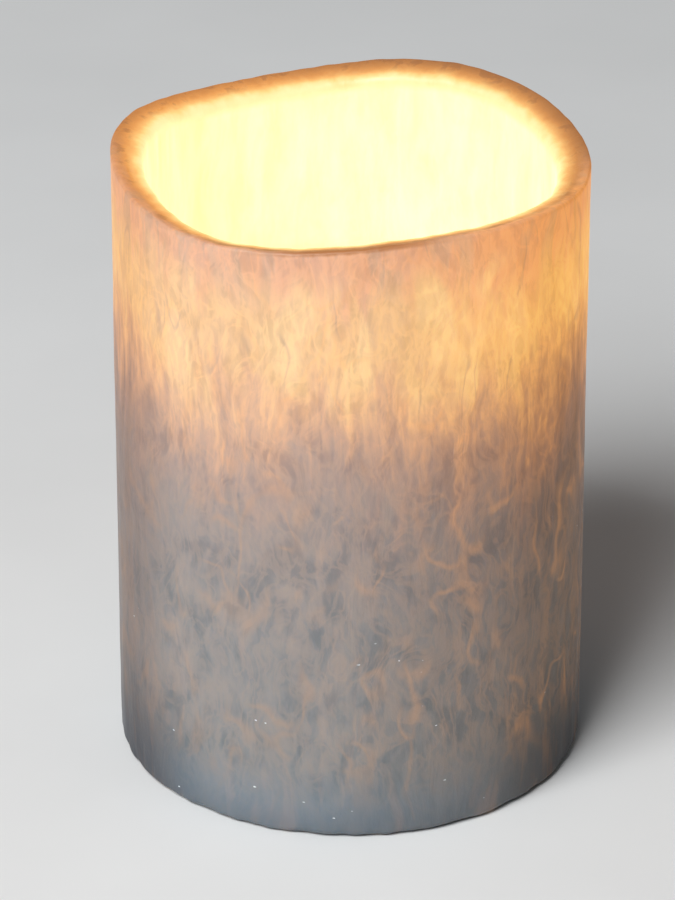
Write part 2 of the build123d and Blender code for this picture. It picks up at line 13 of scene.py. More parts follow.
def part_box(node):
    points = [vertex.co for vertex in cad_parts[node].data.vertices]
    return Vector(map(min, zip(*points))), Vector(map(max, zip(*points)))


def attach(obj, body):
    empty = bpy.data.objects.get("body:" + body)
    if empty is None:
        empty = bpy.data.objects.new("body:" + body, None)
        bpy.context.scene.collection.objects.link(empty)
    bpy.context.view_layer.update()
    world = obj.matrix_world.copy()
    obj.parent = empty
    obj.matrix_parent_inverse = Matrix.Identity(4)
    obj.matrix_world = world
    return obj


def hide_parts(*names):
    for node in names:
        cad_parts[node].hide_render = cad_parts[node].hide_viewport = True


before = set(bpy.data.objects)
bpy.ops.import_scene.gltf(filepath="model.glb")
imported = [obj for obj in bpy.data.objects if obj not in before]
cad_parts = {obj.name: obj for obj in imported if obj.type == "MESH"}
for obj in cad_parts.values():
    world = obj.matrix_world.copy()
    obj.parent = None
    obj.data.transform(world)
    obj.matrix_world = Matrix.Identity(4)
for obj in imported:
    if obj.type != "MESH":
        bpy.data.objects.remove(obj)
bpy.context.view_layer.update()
MM = 0.001

# %% [markdown]
# ## Where to stand
# The candle is looked at from a little above, from far enough away that its sides stay
# almost parallel. A long lens does that. The camera is set by an aim point on the
# candle's axis, a distance and a tilt, which is easier to reason about than a position.

# %% Camera
CAMERA_TILT = radians(27.0)
CAMERA_DISTANCE = 0.875
CAMERA_LENS = 216.0
CAMERA_SENSOR = 36.0
AIM = Vector((-0.0021, 0.0, 0.0503))

camera_data = bpy.data.cameras.new("camera")
camera_data.lens = CAMERA_LENS
camera_data.sensor_width = CAMERA_SENSOR
camera_data.clip_end = 20.0
camera = bpy.data.objects.new("camera", camera_data)
bpy.context.scene.collection.objects.link(camera)
away = Vector((0.0, -cos(CAMERA_TILT), sin(CAMERA_TILT)))
camera.location = AIM + away * CAMERA_DISTANCE
camera.rotation_euler = (-away).to_track_quat("-Z", "Y").to_euler()
bpy.context.scene.camera = camera
print("camera at, mm:", [round(v / MM) for v in camera.location])

# %% [markdown]
# ## A quiet studio
# The wax makes its own light, so the room has to stay dim or the glow drowns. One wide,
# cool panel hangs high at the front left, as window light would, and a weak sky fills the
# rest. The view transform is the plain one, so that the bowl burns out to cream.

# %% Light
SKY_COLOUR = (0.95, 0.97, 1.0, 1.0)
SKY_STRENGTH = 0.115
scene = bpy.context.scene
scene.view_settings.view_transform = "Standard"
scene.view_settings.look = "None"


def panel(name, turn, tilt, distance, size, power, colour):
    """A square light panel that faces the camera's aim point."""
    data = bpy.data.lights.new(name, "AREA")
    data.size = size
    data.energy = power
    data.color = colour
    lamp = bpy.data.objects.new(name, data)
    scene.collection.objects.link(lamp)
    towards = Vector((sin(turn) * cos(tilt), -cos(turn) * cos(tilt), sin(tilt)))
    lamp.location = AIM + towards * distance
    lamp.rotation_euler = (-towards).to_track_quat("-Z", "Y").to_euler()
    return lamp


panel("window_panel", turn=radians(-34), tilt=radians(48), distance=1.7, size=0.9,
      power=32.0, colour=(0.97, 0.985, 1.0))
sky = bpy.data.worlds.new("sky")
sky.use_nodes = True
sky_light = sky.node_tree.nodes["Background"]
sky_light.inputs["Color"].default_value = SKY_COLOUR
sky_light.inputs["Strength"].default_value = SKY_STRENGTH
scene.world = sky

# %% [markdown]
# ## A small kit for finishes
# Every finish is a Principled shader fed by patterns. Patterns use the object's own
# coordinates, so they stay put on the piece. This class keeps the wiring short: each
# method adds a node or a few and hands back the output. All the finishes below use it.


# %% Finish kit
class Finish:
    """A procedural finish: one Principled shader and the nodes that feed it."""

    def __init__(self, name, plain):
        self.material = bpy.data.materials.new(name)
        self.material.use_nodes = True
        self.tree = self.material.node_tree
        self.shader = self.tree.nodes["Principled BSDF"]
        for socket, value in plain.items():
            self.shader.inputs[socket].default_value = value
        self.place = self.node("ShaderNodeTexCoord").outputs["Object"]

    def node(self, kind, inputs=None, **settings):
        """Adds a node, sets it up and fills its inputs."""
        made = self.tree.nodes.new(kind)
        for key, value in settings.items():
            setattr(made, key, value)
        for key, value in (inputs or {}).items():
            self.plug(made.inputs[key], value)
        return made

    def plug(self, socket, value):
        """Links another node's output to a socket, or sets a plain value on it."""
        if isinstance(value, bpy.types.NodeSocket):
            self.tree.links.new(value, socket)
        else:
            socket.default_value = value

    def feed(self, socket, value):
        """Plugs a pattern into the shader."""
        self.plug(self.shader.inputs[socket], value)

    def calc(self, operation, first, second=0.0, third=0.0):
        """One piece of arithmetic on up to three values."""
        inputs = {0: first, 1: second, 2: third}
        return self.node("ShaderNodeMath", inputs, operation=operation).outputs[0]

    def step(self, value, start, end, low=0.0, high=1.0):
        """A soft step: low up to start, high from end on."""
        inputs = {"Value": value, "From Min": start, "From Max": end}
        inputs.update({"To Min": low, "To Max": high})
        made = self.node("ShaderNodeMapRange", inputs, interpolation_type="SMOOTHSTEP")
        return made.outputs["Result"]

    def stretch(self, x, y, z, shift=(0.0, 0.0, 0.0), place=None):
        """The place scaled along each axis: below 1 makes a pattern longer that way."""
        inputs = {"Vector": place or self.place, "Scale": (x, y, z), "Location": shift}
        return self.node("ShaderNodeMapping", inputs).outputs["Vector"]

    def cloud(self, place, size, detail=2.0, rough=0.5, warp=0.0):
        """Soft noise whose blobs are about this many millimetres across."""
        inputs = {"Vector": place, "Scale": 1.0 / (size * MM), "Detail": detail}
        inputs.update({"Roughness": rough, "Distortion": warp})
        return self.node("ShaderNodeTexNoise", inputs).outputs

    def bend(self, place, by, amount):
        """Moves a place by a coloured noise, up to this many millimetres."""
        inputs = {0: by["Color"], 1: (0.5, 0.5, 0.5)}
        centred = self.node("ShaderNodeVectorMath", inputs, operation="SUBTRACT").outputs[0]
        inputs = {0: centred, 1: (2 * amount * MM,) * 3, 2: place}
        return self.node("ShaderNodeVectorMath", inputs, operation="MULTIPLY_ADD").outputs[0]

    def shifted(self, noise_value, reach, value):
        """A value moved up or down by soft noise, which runs from 0 to 1 about its middle."""
        centred = self.calc("SUBTRACT", noise_value, 0.5)
        return self.calc("MULTIPLY_ADD", centred, reach, value)

    def blend(self, first, share, second, other_share):
        """Two patterns added up, each with its own share."""
        return self.calc("MULTIPLY_ADD", first, share, self.calc("MULTIPLY", second, other_share))

    def times(self, *values):
        """All these values multiplied together."""
        product = values[0]
        for value in values[1:]:
            product = self.calc("MULTIPLY", product, value)
        return product

    def cells(self, place, size, feature="F1"):
        """Voronoi cells about this many millimetres across."""
        inputs = {"Vector": place, "Scale": 1.0 / (size * MM)}
        return self.node("ShaderNodeTexVoronoi", inputs, feature=feature).outputs

    def tint(self, value, stops):
        """A colour ramp from (position, colour) stops."""
        ramp = self.node("ShaderNodeValToRGB", {"Fac": value})
        knots = ramp.color_ramp.elements
        while len(knots) < len(stops):
            knots.new(0.5)
        for knot, (position, colour) in zip(knots, stops):
            knot.position = position
            knot.color = (*colour, 1.0)
        return ramp.outputs["Color"]

    def mix(self, share, first, second, how="MIX"):
        """The first colour with a share of the second one, from nodes or as plain colours."""
        made = self.node("ShaderNodeMix", data_type="RGBA", blend_type=how, clamp_factor=True)
        for index, value in ((0, share), (6, first), (7, second)):
            self.plug(made.inputs[index], (*value, 1.0) if isinstance(value, tuple) else value)
        return made.outputs[2]

    def relief(self, height, depth, strength=1.0):
        """Bump of this many millimetres."""
        inputs = {"Height": height, "Distance": depth * MM, "Strength": strength}
        self.feed("Normal", self.node("ShaderNodeBump", inputs).outputs["Normal"])


print("finish kit ready")

# %% [markdown]
# ## The floor
# A plain pale sheet, so wide that its edges never show. It is part of the stage, not of
# the candle. A faint mottle keeps it from looking like empty space. It lies a hair below
# the foot, so that the two flat faces never share a plane.

# %% Floor
FLOOR_HALF = 3.0
FLOOR_HEIGHT = -0.2 * MM
FLOOR_SQUARE = ((-1, -1), (1, -1), (1, 1), (-1, 1))
floor_corners = [(x * FLOOR_HALF, y * FLOOR_HALF, FLOOR_HEIGHT) for x, y in FLOOR_SQUARE]
floor_mesh = bpy.data.meshes.new("floor")
floor_mesh.from_pydata(floor_corners, [], [(0, 1, 2, 3)])
floor = bpy.data.objects.new("floor", floor_mesh)
scene.collection.objects.link(floor)
pale_sheet = Finish("pale_sheet", {"Roughness": 0.75})
pale_sheet.feed("Base Color", pale_sheet.tint(
    pale_sheet.cloud(pale_sheet.place, 60, 3)["Fac"],
    [(0.3, (0.80, 0.80, 0.79)), (0.7, (0.84, 0.84, 0.83))],
))
floor_mesh.materials.append(pale_sheet.material)
print("floor is", 2 * FLOOR_HALF, "m wide")

# %% [markdown]
# ## The wax shell
# The real shell is cast in a tube mould, and its top is melted with a hot air gun until
# the rim runs into low waves that slope inwards. A turned solid with a boolean cut could
# give the waves, but not the small dents. So the shell is laid out as a grid: its
# cross-section, worked out anew at each turn, is swept round the axis, and small
# soft noise is added where wax melts, runs or crumbles.

# %% Shell sizes
wax_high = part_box("wax_shell")[1]
WAX_RADIUS = wax_high[0]
WAX_TOP = wax_high[2]
RIM_MEAN = 102.8 * MM
RIM_SLOPE = 0.25
BIG_WAVE_MM = 1.35
BIG_WAVE_SHIFT = -radians(163.5)
SMALL_WAVE_MM = 0.2
SMALL_WAVE_SHIFT = radians(44)
LIP = 0.55 * MM
WALL = 5.4 * MM
BOWL_RADIUS = WAX_RADIUS - WALL
BOWL_FLOOR = 69.0 * MM
LEDGE = 4.0 * MM
POCKET_RADIUS = 29.0 * MM
LENS_HOLE = 6.5 * MM
LENS_HOLE_EDGE = 0.6 * MM
FLOOR_FILLET = 4.0 * MM
COLUMNS = 400
WALL_STEPS = 120
BOWL_STEPS = 46


def rim_height(turn, radius=WAX_RADIUS):
    """Three broad melted waves round the rim, sloping down towards the bowl."""
    wave = BIG_WAVE_MM * cos(3 * turn + BIG_WAVE_SHIFT) + SMALL_WAVE_MM * cos(4 * turn + SMALL_WAVE_SHIFT)
    return RIM_MEAN + wave * MM - RIM_SLOPE * (WAX_RADIUS - radius)


def soft(turn, height, size, seed=0.0):
    """Smooth noise from -1 to 1 on the shell, with lumps of about this size in metres."""
    spot = Vector((cos(turn) * WAX_RADIUS, sin(turn) * WAX_RADIUS, height)) / size
    return noise.noise(spot + Vector((seed, seed * 1.7, -seed)))


rim_heights = [rim_height(radians(degree)) / MM for degree in range(360)]
print("shell radius", round(WAX_RADIUS / MM, 1), "mm")
print("rim from", round(min(rim_heights), 1), "to", round(max(rim_heights), 1), "mm")

# %% [markdown]
# A section is a closed outline of (radius, height) points. Its corners are short arcs, and
# its straight stretches are cut into even steps, so that the mesh can bend wherever the
# wax does. Sections of every turn have the same number of points, so they join up.


# %% Shell cross-section
def arc(centre, radius, start, end, steps):
    """Points of a round corner, from one angle in degrees to another."""
    turns = [radians(start + (end - start) * i / steps) for i in range(steps + 1)]
    return [(centre[0] + radius * cos(t), centre[1] + radius * sin(t)) for t in turns]


def run(first, last, steps):
    """Points strictly between two ends of a straight stretch."""
    return [tuple(a + (b - a) * i / steps for a, b in zip(first, last)) for i in range(1, steps)]


def shell_section(turn):
    """The closed outline of the wax at one turn: foot, wall, rim, bowl, ledge, pocket."""
    melt = 0.22 * soft(turn, 0.0, 7 * MM, seed=3.0) + 0.12 * soft(turn, 0.0, 2.6 * MM, seed=5.0)
    outer_top = min(rim_height(turn) + melt * MM, WAX_TOP)
    inner_top = rim_height(turn, BOWL_RADIUS) + melt * MM
    brim = (1.7 + 0.5 * soft(turn, 0.0, 9 * MM, seed=8.0)) * MM
    foot = (1.3 + 0.7 * soft(turn, 0.0, 4 * MM, seed=1.0)) * MM
    outline = [(POCKET_RADIUS, 0.0)]
    outline += run((POCKET_RADIUS, 0.0), (WAX_RADIUS - foot, 0.0), 6)
    outline += arc((WAX_RADIUS - foot, foot), foot, -90, 0, 6)
    outline += run((WAX_RADIUS, foot), (WAX_RADIUS, outer_top - LIP), WALL_STEPS)
    outline += arc((WAX_RADIUS - LIP, outer_top - LIP), LIP, 0, 76, 4)
    outline += run((WAX_RADIUS - LIP, outer_top), (BOWL_RADIUS + brim, inner_top + RIM_SLOPE * brim), 10)
    outline += arc((BOWL_RADIUS + brim, inner_top - brim * (1 - RIM_SLOPE)), brim, 104, 180, 7)
    corner = (BOWL_RADIUS - FLOOR_FILLET, BOWL_FLOOR + FLOOR_FILLET)
    outline += run((BOWL_RADIUS, inner_top - brim), (BOWL_RADIUS, corner[1]), BOWL_STEPS)
    outline += arc(corner, FLOOR_FILLET, 360, 270, 8)
    hole_edge = (LENS_HOLE + LENS_HOLE_EDGE, BOWL_FLOOR - LENS_HOLE_EDGE)
    outline += run((corner[0], BOWL_FLOOR), (hole_edge[0], BOWL_FLOOR), 16)
    outline += arc(hole_edge, LENS_HOLE_EDGE, 90, 180, 4)
    ledge_height = BOWL_FLOOR - LEDGE
    outline += run((LENS_HOLE, hole_edge[1]), (LENS_HOLE, ledge_height), 4)
    outline += [(LENS_HOLE, ledge_height)]
    outline += run((LENS_HOLE, ledge_height), (POCKET_RADIUS, ledge_height), 6)
    outline += [(POCKET_RADIUS, ledge_height)]
    outline += run((POCKET_RADIUS, ledge_height), (POCKET_RADIUS, 0.0), 12)
    return outline


print("section has", len(shell_section(0.0)), "points")


# %% [markdown]
# The section is perfect, and wax isn't. Each point is now pushed a little: the outer wall
# by a few hundredths of a millimetre, as it shrank from its mould; the bowl by more,
# where melted wax ran down; and the foot by up to half a millimetre, where it crumbled
# as it was pulled out. Faces that meet the plastic unit are left alone. The noise is
# fixed by its place and a seed number, so the same shell comes out every time.

# %% Shell mesh
SLACK = 0.1 * MM
OUTER_SKIN = 2.5 * MM
FOOT_FADE = 2.2 * MM


def settle(turn, radius, height):
    """How far wax at this point sits from the perfect section, as (outwards, up)."""
    in_pocket = radius <= POCKET_RADIUS + SLACK and height < BOWL_FLOOR - LEDGE + SLACK
    on_outer_wall = radius > WAX_RADIUS - OUTER_SKIN
    if in_pocket:
        return 0.0, 0.0
    if on_outer_wall:
        shrink = 0.10 * soft(turn, height * 0.35, 9 * MM) + 0.04 * soft(turn, height * 0.5, 3 * MM, seed=2.0)
        near_foot = exp(-height / FOOT_FADE)
        crumble = soft(turn, height, 2.2 * MM, seed=4.0) + 0.6 * soft(turn, height, 5 * MM, seed=6.0)
        dent = min(0.0, shrink - 0.1) - near_foot * 0.34 * max(0.0, crumble + 0.35)
        lift = near_foot * 0.10 * max(0.0, crumble) if height < 0.3 * MM else 0.0
        return dent * MM, lift * MM
    if height > BOWL_FLOOR + 1.0 * MM:
        broad_runs = 0.30 * soft(turn, height * 0.22, 6 * MM, seed=7.0)
        fine_runs = 0.10 * soft(turn, height * 0.4, 2 * MM, seed=9.0)
        return (broad_runs + fine_runs) * MM, 0.0
    if height > BOWL_FLOOR - 1.0 * MM:
        pool = 0.25 * noise.noise(Vector((cos(turn) * radius, sin(turn) * radius, 0.0)) / (6 * MM))
        from_hole = min(1.0, max(0.0, (radius - LENS_HOLE) / (3 * MM)))
        return 0.0, pool * from_hole * MM
    return 0.0, 0.0


def swept_ring(name, section_at, columns, push):
    """A closed ring: one closed section for each turn, pushed and joined all the way round."""
    points = []
    for column in range(columns):
        turn = 2 * pi * column / columns
        for radius, height in section_at(turn):
            out, up = push(turn, radius, height)
            points.append((cos(turn) * (radius + out), sin(turn) * (radius + out), height + up))
    rows = len(points) // columns
    faces = []
    for column in range(columns):
        here, there = column * rows, (column + 1) % columns * rows
        for row in range(rows):
            above = (row + 1) % rows
            faces.append((here + row, there + row, there + above, here + above))
    mesh = bpy.data.meshes.new(name)
    mesh.from_pydata(points, [], faces)
    mesh.polygons.foreach_set("use_smooth", [True] * len(faces))
    mesh.update()
    piece = bpy.data.objects.new(name, mesh)
    scene.collection.objects.link(piece)
    return piece


wax = swept_ring("wax_pillar", shell_section, COLUMNS, settle)
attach(wax, "candle")
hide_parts("wax_shell")
print("wax has", len(wax.data.polygons), "faces")

# %% [markdown]
# ## The wax finish
# The wax is a crystalline one. As it cools it grows long feathers up the mould wall and
# a tangle of fibres lower down. Lamplight from the bowl soaks into the wall, so
# the outside glows for as far down as the bowl goes, then fades to the grey of unlit wax.
# True light transport through the wall would need a heavy render and would be lost
# in an exported model. So the glow is painted as emission, worked out from how far
# each point is below the rim, and broken up by the same feathers that colour the wax.
# Here w is the wax finish, and its places and distances are in millimetres.

# %% Wax: places and feathers
feather_wax = Finish("feather_wax", {
    "Subsurface Weight": 0.35,
    "Subsurface Radius": (1.0, 0.55, 0.30),
    "Subsurface Scale": 0.004,
    "Emission Strength": 1.0,
})
w = feather_wax
spot_on_wax = w.node("ShaderNodeSeparateXYZ", {0: w.place}).outputs
x_mm, y_mm, z_mm = [w.calc("MULTIPLY", spot_on_wax[axis], 1 / MM) for axis in "XYZ"]
aside = w.calc("ABSOLUTE", x_mm)
r_mm = w.calc("SQRT", w.calc("MULTIPLY_ADD", x_mm, x_mm, w.calc("MULTIPLY", y_mm, y_mm)))
turn_at = w.calc("ARCTAN2", y_mm, x_mm)
big_wave = w.calc("COSINE", w.calc("MULTIPLY_ADD", turn_at, 3.0, BIG_WAVE_SHIFT))
small_wave = w.calc("COSINE", w.calc("MULTIPLY_ADD", turn_at, 4.0, SMALL_WAVE_SHIFT))
rim_mm = w.calc("MULTIPLY_ADD", small_wave, SMALL_WAVE_MM, RIM_MEAN / MM)
rim_mm = w.calc("MULTIPLY_ADD", big_wave, BIG_WAVE_MM, rim_mm)
rim_mm = w.calc("MULTIPLY_ADD", w.calc("SUBTRACT", r_mm, WAX_RADIUS / MM), RIM_SLOPE, rim_mm)
below_rim = w.calc("SUBTRACT", rim_mm, z_mm)

leaning = w.bend(w.place, w.cloud(w.stretch(1, 1, 0.45), 13, 2), 4.5)
tangled = w.bend(w.place, w.cloud(w.stretch(1, 1, 0.8, (0.3, 0.0, 0.0)), 11, 2), 9.0)
plume = w.cloud(w.stretch(1, 1, 0.24, place=leaning), 6.5, 2, 0.5, 0.2)["Fac"]
feather = w.cloud(w.stretch(1, 1, 0.13, place=leaning), 2.7, 3, 0.5, 0.2)["Fac"]
barb = w.cloud(w.stretch(1, 1, 0.26, (0.02, 0.01, 0.0), leaning), 1.0, 3, 0.55, 0.3)["Fac"]
hair_field = w.cloud(w.stretch(1, 1, 0.28, (0.07, 0.02, 0.0), tangled), 2.8, 3, 0.55)["Fac"]
hair = w.step(w.calc("ABSOLUTE", w.calc("SUBTRACT", hair_field, 0.5)), 0.0, 0.11, 1.0, 0.0)
patch = w.cloud(w.stretch(1, 1, 0.5, (0.05, 0.0, 0.03), leaning), 9.0, 3)["Fac"]
print("wax patterns:", len(w.tree.nodes), "nodes")

# %% [markdown]
# The lower half has few feathers but many curled wisps. A thin wisp is a contour line of a
# soft noise: bright only where the noise is close to its middle value. A second noise
# cuts the lines into short lengths.


# %% Wax: wisps
def wisp_lines(size, stretch_z, seed, thin, swirl_reach=4.0):
    """Thin curling lines, 0 to 1, cut into lengths."""
    swirl = w.bend(w.place, w.cloud(w.stretch(1, 1, 0.7, (seed, 0, 0)), 12, 2), swirl_reach)
    field = w.cloud(w.stretch(1, 1, stretch_z, (seed, seed, 0), swirl), size, 1, 0.4)["Fac"]
    off_line = w.calc("ABSOLUTE", w.calc("SUBTRACT", field, 0.5))
    line = w.step(off_line, 0.0, thin, 1.0, 0.0)
    cut = w.step(w.cloud(w.stretch(1, 1, 0.6, (0, seed, seed)), 8, 1)["Fac"], 0.48, 0.64)
    return w.times(line, cut)


long_wisps = wisp_lines(11, 0.20, seed=0.031, thin=0.042)
leaning_wisps = wisp_lines(9, 0.42, seed=0.113, thin=0.045, swirl_reach=9.0)
curly_wisps = wisp_lines(9, 0.7, seed=0.077, thin=0.040)
wisps = w.calc("MAXIMUM", long_wisps, w.calc("MAXIMUM", leaning_wisps, curly_wisps))
print("wax patterns with wisps:", len(w.tree.nodes), "nodes")

# %% [markdown]
# Now the glow. One ramp gives its colour by depth below the rim. Feathers shift that
# depth up or down, so that the lit zone ends in tongues and not in a straight line.
# Thick patches just under the rim stay dull, and thin ones shine almost yellow. Fine dark
# seams part the feathers, and the painted glow is made warmer towards the right, where
# less room light falls.

# %% Wax: glow through the wall
RAMP_LENGTH = 104.0
SHINING = (0.78, 0.43, 0.090)
DULL = (0.42, 0.17, 0.042)
SEAM = (0.30, 0.105, 0.012)
WARMTH = (0.135, 0.058, 0.009)
WISP_LIGHT = (0.108, 0.041, 0.0075)
HAIR_LIGHT = (0.038, 0.014, 0.002)

tongue = w.step(x_mm, 8.0, 22.0, 0.0, 3.0)
for pattern, reach in ((plume, 15.0), (feather, 19.0), (patch, 14.0), (barb, 7.0)):
    tongue = w.shifted(pattern, reach, tongue)
tongue = w.calc("ADD", tongue, w.step(x_mm, 27.0, 36.0, 0.0, -6.0))
tongue = w.calc("ADD", tongue, w.step(x_mm, -12.0, -24.0, 0.0, -2.0))
glow_depth = w.calc("SUBTRACT", below_rim, tongue)
wall_glow = w.tint(w.calc("DIVIDE", glow_depth, RAMP_LENGTH), [
    (0.00, (0.60, 0.20, 0.020)),
    (0.05, (0.66, 0.24, 0.030)),
    (0.12, (0.72, 0.34, 0.040)),
    (0.19, (0.71, 0.34, 0.040)),
    (0.25, (0.62, 0.25, 0.025)),
    (0.31, (0.40, 0.14, 0.010)),
    (0.37, (0.20, 0.060, 0.002)),
    (0.47, (0.065, 0.017, 0.0)),
    (0.62, (0.018, 0.004, 0.0)),
    (0.90, (0.0, 0.0, 0.0)),
])
lit = w.times(w.step(below_rim, 34.0, 18.0), w.step(below_rim, 2.0, 9.0), w.step(x_mm, -36.0, -22.0, 0.15))
thin_wax = w.step(w.blend(plume, 0.6, patch, 0.4), 0.49, 0.60)
shine = w.times(thin_wax, w.step(x_mm, 16.0, 33.0, 0.95, 0.25), lit)
wall_glow = w.mix(shine, wall_glow, SHINING)
thick_wax = w.step(w.blend(plume, 0.45, feather, 0.55), 0.49, 0.41)
dull = w.times(thick_wax, w.step(below_rim, 12.0, 1.5, 0.10, 0.62))
wall_glow = w.mix(dull, wall_glow, DULL)
seam_lines = wisp_lines(6.0, 0.20, seed=0.19, thin=0.030)
seams = w.times(seam_lines, w.step(below_rim, 46.0, 24.0, 0.0, 0.42))
wall_glow = w.mix(seams, wall_glow, SEAM)
# Painted light: the glow is warmer towards the right, where less room light falls.
warmer_right_glow = w.times(w.step(x_mm, 6.0, 24.0), w.step(below_rim, 31.0, 17.0))
wall_glow = w.mix(warmer_right_glow, wall_glow, WARMTH, "ADD")
grain = w.step(w.blend(barb, 0.8, hair, 0.12), 0.30, 0.62)
grain_shade = w.tint(grain, [(0.0, (0.86, 0.81, 0.71)), (1.0, (1.0, 1.0, 1.0))])
wall_glow = w.mix(1.0, wall_glow, grain_shade, "MULTIPLY")
to_right = w.step(x_mm, -30.0, 34.0)
wisp_room = w.times(w.step(below_rim, 22.0, 46.0), w.step(z_mm, 5.0, 20.0))
wisp_share = w.times(wisps, wisp_room, w.step(to_right, 0.0, 1.0, 0.35))
wall_glow = w.mix(wisp_share, wall_glow, WISP_LIGHT, "ADD")
hair_share = w.times(hair, wisp_room, w.step(to_right, 0.1, 1.0, 0.25))
wall_glow = w.mix(hair_share, wall_glow, HAIR_LIGHT, "ADD")
print("wall glow done:", len(w.tree.nodes), "nodes")

# %% [markdown]
# The cut top of the wall is lit edge-on: almost as bright as the bowl at its inner edge
# and orange-brown at its outer one, with short dark strokes across it. Its glow is painted
# darker towards the far right and at the outer edge of the near side, and along the near
# side, away from the middle, the outer edge keeps the wall's glow instead of the rim's.
# The bowl itself burns out to cream. Its floor is kept a touch dimmer, so that the lens
# still shows.

# %% Wax: rim and bowl
CHAR = (0.30, 0.105, 0.028)
FAR_RIM = (0.20, 0.066, 0.012)
NEAR_RIM = (0.30, 0.095, 0.020)

strokes = w.cloud(w.stretch(1, 1, 0.2), 1.8, 3, 0.6, 0.4)["Fac"]
blotch = w.cloud(w.place, 4.5, 2)["Fac"]
edge_in = w.shifted(blotch, 2.2, w.shifted(strokes, 1.3, r_mm))
rim_glow = w.tint(w.step(edge_in, 31.0, 38.2), [
    (0.00, (0.95, 0.92, 0.48)),
    (0.18, (0.96, 0.82, 0.38)),
    (0.34, (0.95, 0.66, 0.23)),
    (0.50, (0.90, 0.46, 0.13)),
    (0.72, (0.72, 0.29, 0.065)),
    (1.00, (0.44, 0.155, 0.030)),
])
char = w.step(w.blend(strokes, 0.4, blotch, 0.6), 0.50, 0.42)
char = w.times(char, w.step(r_mm, 34.0, 36.6, 0.0, 0.7))
rim_glow = w.mix(char, rim_glow, CHAR)
# Painted shade: the rim's glow is darker towards the far right.
far_side = w.step(w.calc("MULTIPLY_ADD", y_mm, 0.6, x_mm), -6.0, 36.0)
far_side = w.times(far_side, w.step(r_mm, 33.0, 37.8, 0.0, 0.66))
rim_glow = w.mix(far_side, rim_glow, FAR_RIM)
# Painted shade: the outer edge of the near rim glows darker.
near_side = w.times(w.step(y_mm, -8.0, -30.0), w.step(r_mm, 34.0, 36.5))
near_side = w.times(near_side, w.step(aside, 28.0, 14.0, 0.15, 0.75))
rim_glow = w.mix(near_side, rim_glow, NEAR_RIM)
streak = w.cloud(w.stretch(1, 1, 0.16, place=leaning), 3.4, 3, 0.55)["Fac"]
bowl_glow = w.tint(streak, [(0.32, (0.86, 0.78, 0.33)), (0.68, (0.98, 0.90, 0.46))])
floor_glow = w.tint(w.step(w.calc("MULTIPLY_ADD", blotch, 7.0, r_mm), 9.0, 34.0), [
    (0.0, (0.98, 0.84, 0.42)),
    (1.0, (0.78, 0.56, 0.20)),
])
in_bowl = w.times(w.step(r_mm, 35.6, 34.4), w.step(z_mm, 65.5, 67.5))
on_floor = w.times(w.step(z_mm, 74.0, 69.5), in_bowl)
on_rim = w.step(w.calc("MULTIPLY_ADD", strokes, 0.6, below_rim), 1.1, 0.4)
on_rim = w.calc("MAXIMUM", on_rim, w.times(in_bowl, w.step(below_rim, 2.4, 0.6)))
# Towards the sides of the near rim, the outer edge shows the wall's glow instead of the rim's.
near_edge_wall_glow = w.times(w.step(edge_in, 35.4, 37.2), w.step(aside, 5.0, 18.0, 0.0, 0.85), w.step(y_mm, 8.0, -12.0))
on_rim = w.times(on_rim, w.calc("SUBTRACT", 1.0, near_edge_wall_glow))
glow = w.mix(in_bowl, wall_glow, bowl_glow)
glow = w.mix(on_floor, glow, floor_glow)
glow = w.mix(on_rim, glow, rim_glow)
w.feed("Emission Color", glow)
print("glow done:", len(w.tree.nodes), "nodes")

# %% [markdown]
# Last, the wax by room light: a cool grey-white, bluer towards the foot, with pinkish
# fibres through it. It is browner on the melted rim. Shade is also painted into this
# colour, mostly on the front half: browner towards the right wall and both sides, darkest
# low down at the sides, and darker along the bottom edge. Each layer is a share of one
# colour over the last.

# %% Wax: body colour
mottle = w.cloud(w.stretch(1, 1, 0.6, (0.2, 0.1, 0.0), leaning), 4.5, 3, 0.5, 0.5)["Fac"]
fibre = w.step(w.blend(mottle, 0.78, barb, 0.22), 0.34, 0.66)
body = w.tint(fibre, [
    (0.0, (0.192, 0.210, 0.221)),
    (0.5, (0.259, 0.261, 0.263)),
    (1.0, (0.312, 0.293, 0.281)),
])
# Painted shade: the masks below brown and darken the wax where room light falls weakly, mostly on the front
# half.
front_half = w.step(y_mm, 2.0, -14.0, 0.25)
right_wall_shade = w.times(w.step(to_right, 0.3, 1.0, 0.0, 0.32), front_half)
right_edge_shade = w.times(w.step(x_mm, 20.0, 36.0, 0.0, 0.53), front_half)
left_edge_shade = w.times(w.step(x_mm, -26.0, -37.0, 0.0, 0.65), front_half)
low_side_shade = w.times(w.step(aside, 20.0, 37.0), w.step(z_mm, 26.0, 3.0, 0.0, 0.7), front_half)
# Painted shade along the bottom edge, strongest towards the left and middle.
foot_edge_shade = w.times(w.step(z_mm, 6.5, 0.5, 0.0, 0.26), w.step(x_mm, 26.0, 6.0, 0.3))
layers = {
    "pinkish hairs": (w.times(hair, 0.5), (0.335, 0.298, 0.274)),
    "wisps": (w.times(wisps, 0.45), (0.35, 0.275, 0.225)),
    "blue foot": (w.step(z_mm, 15.0, 2.0, 0.0, 0.75), (0.205, 0.250, 0.292)),
    "painted shade on right wall": (right_wall_shade, (0.17, 0.125, 0.085)),
    "painted shade on right edge": (right_edge_shade, (0.147, 0.095, 0.045)),
    "painted shade on left edge": (left_edge_shade, (0.155, 0.112, 0.097)),
    "painted shade low on sides": (low_side_shade, (0.050, 0.058, 0.070)),
    "painted shade on foot edge": (foot_edge_shade, (0.050, 0.062, 0.080)),
    "brown rim": (on_rim, (0.15, 0.085, 0.045)),
}
for share, colour in layers.values():
    body = w.mix(share, body, colour)
print("layers over the body colour:", ", ".join(layers))
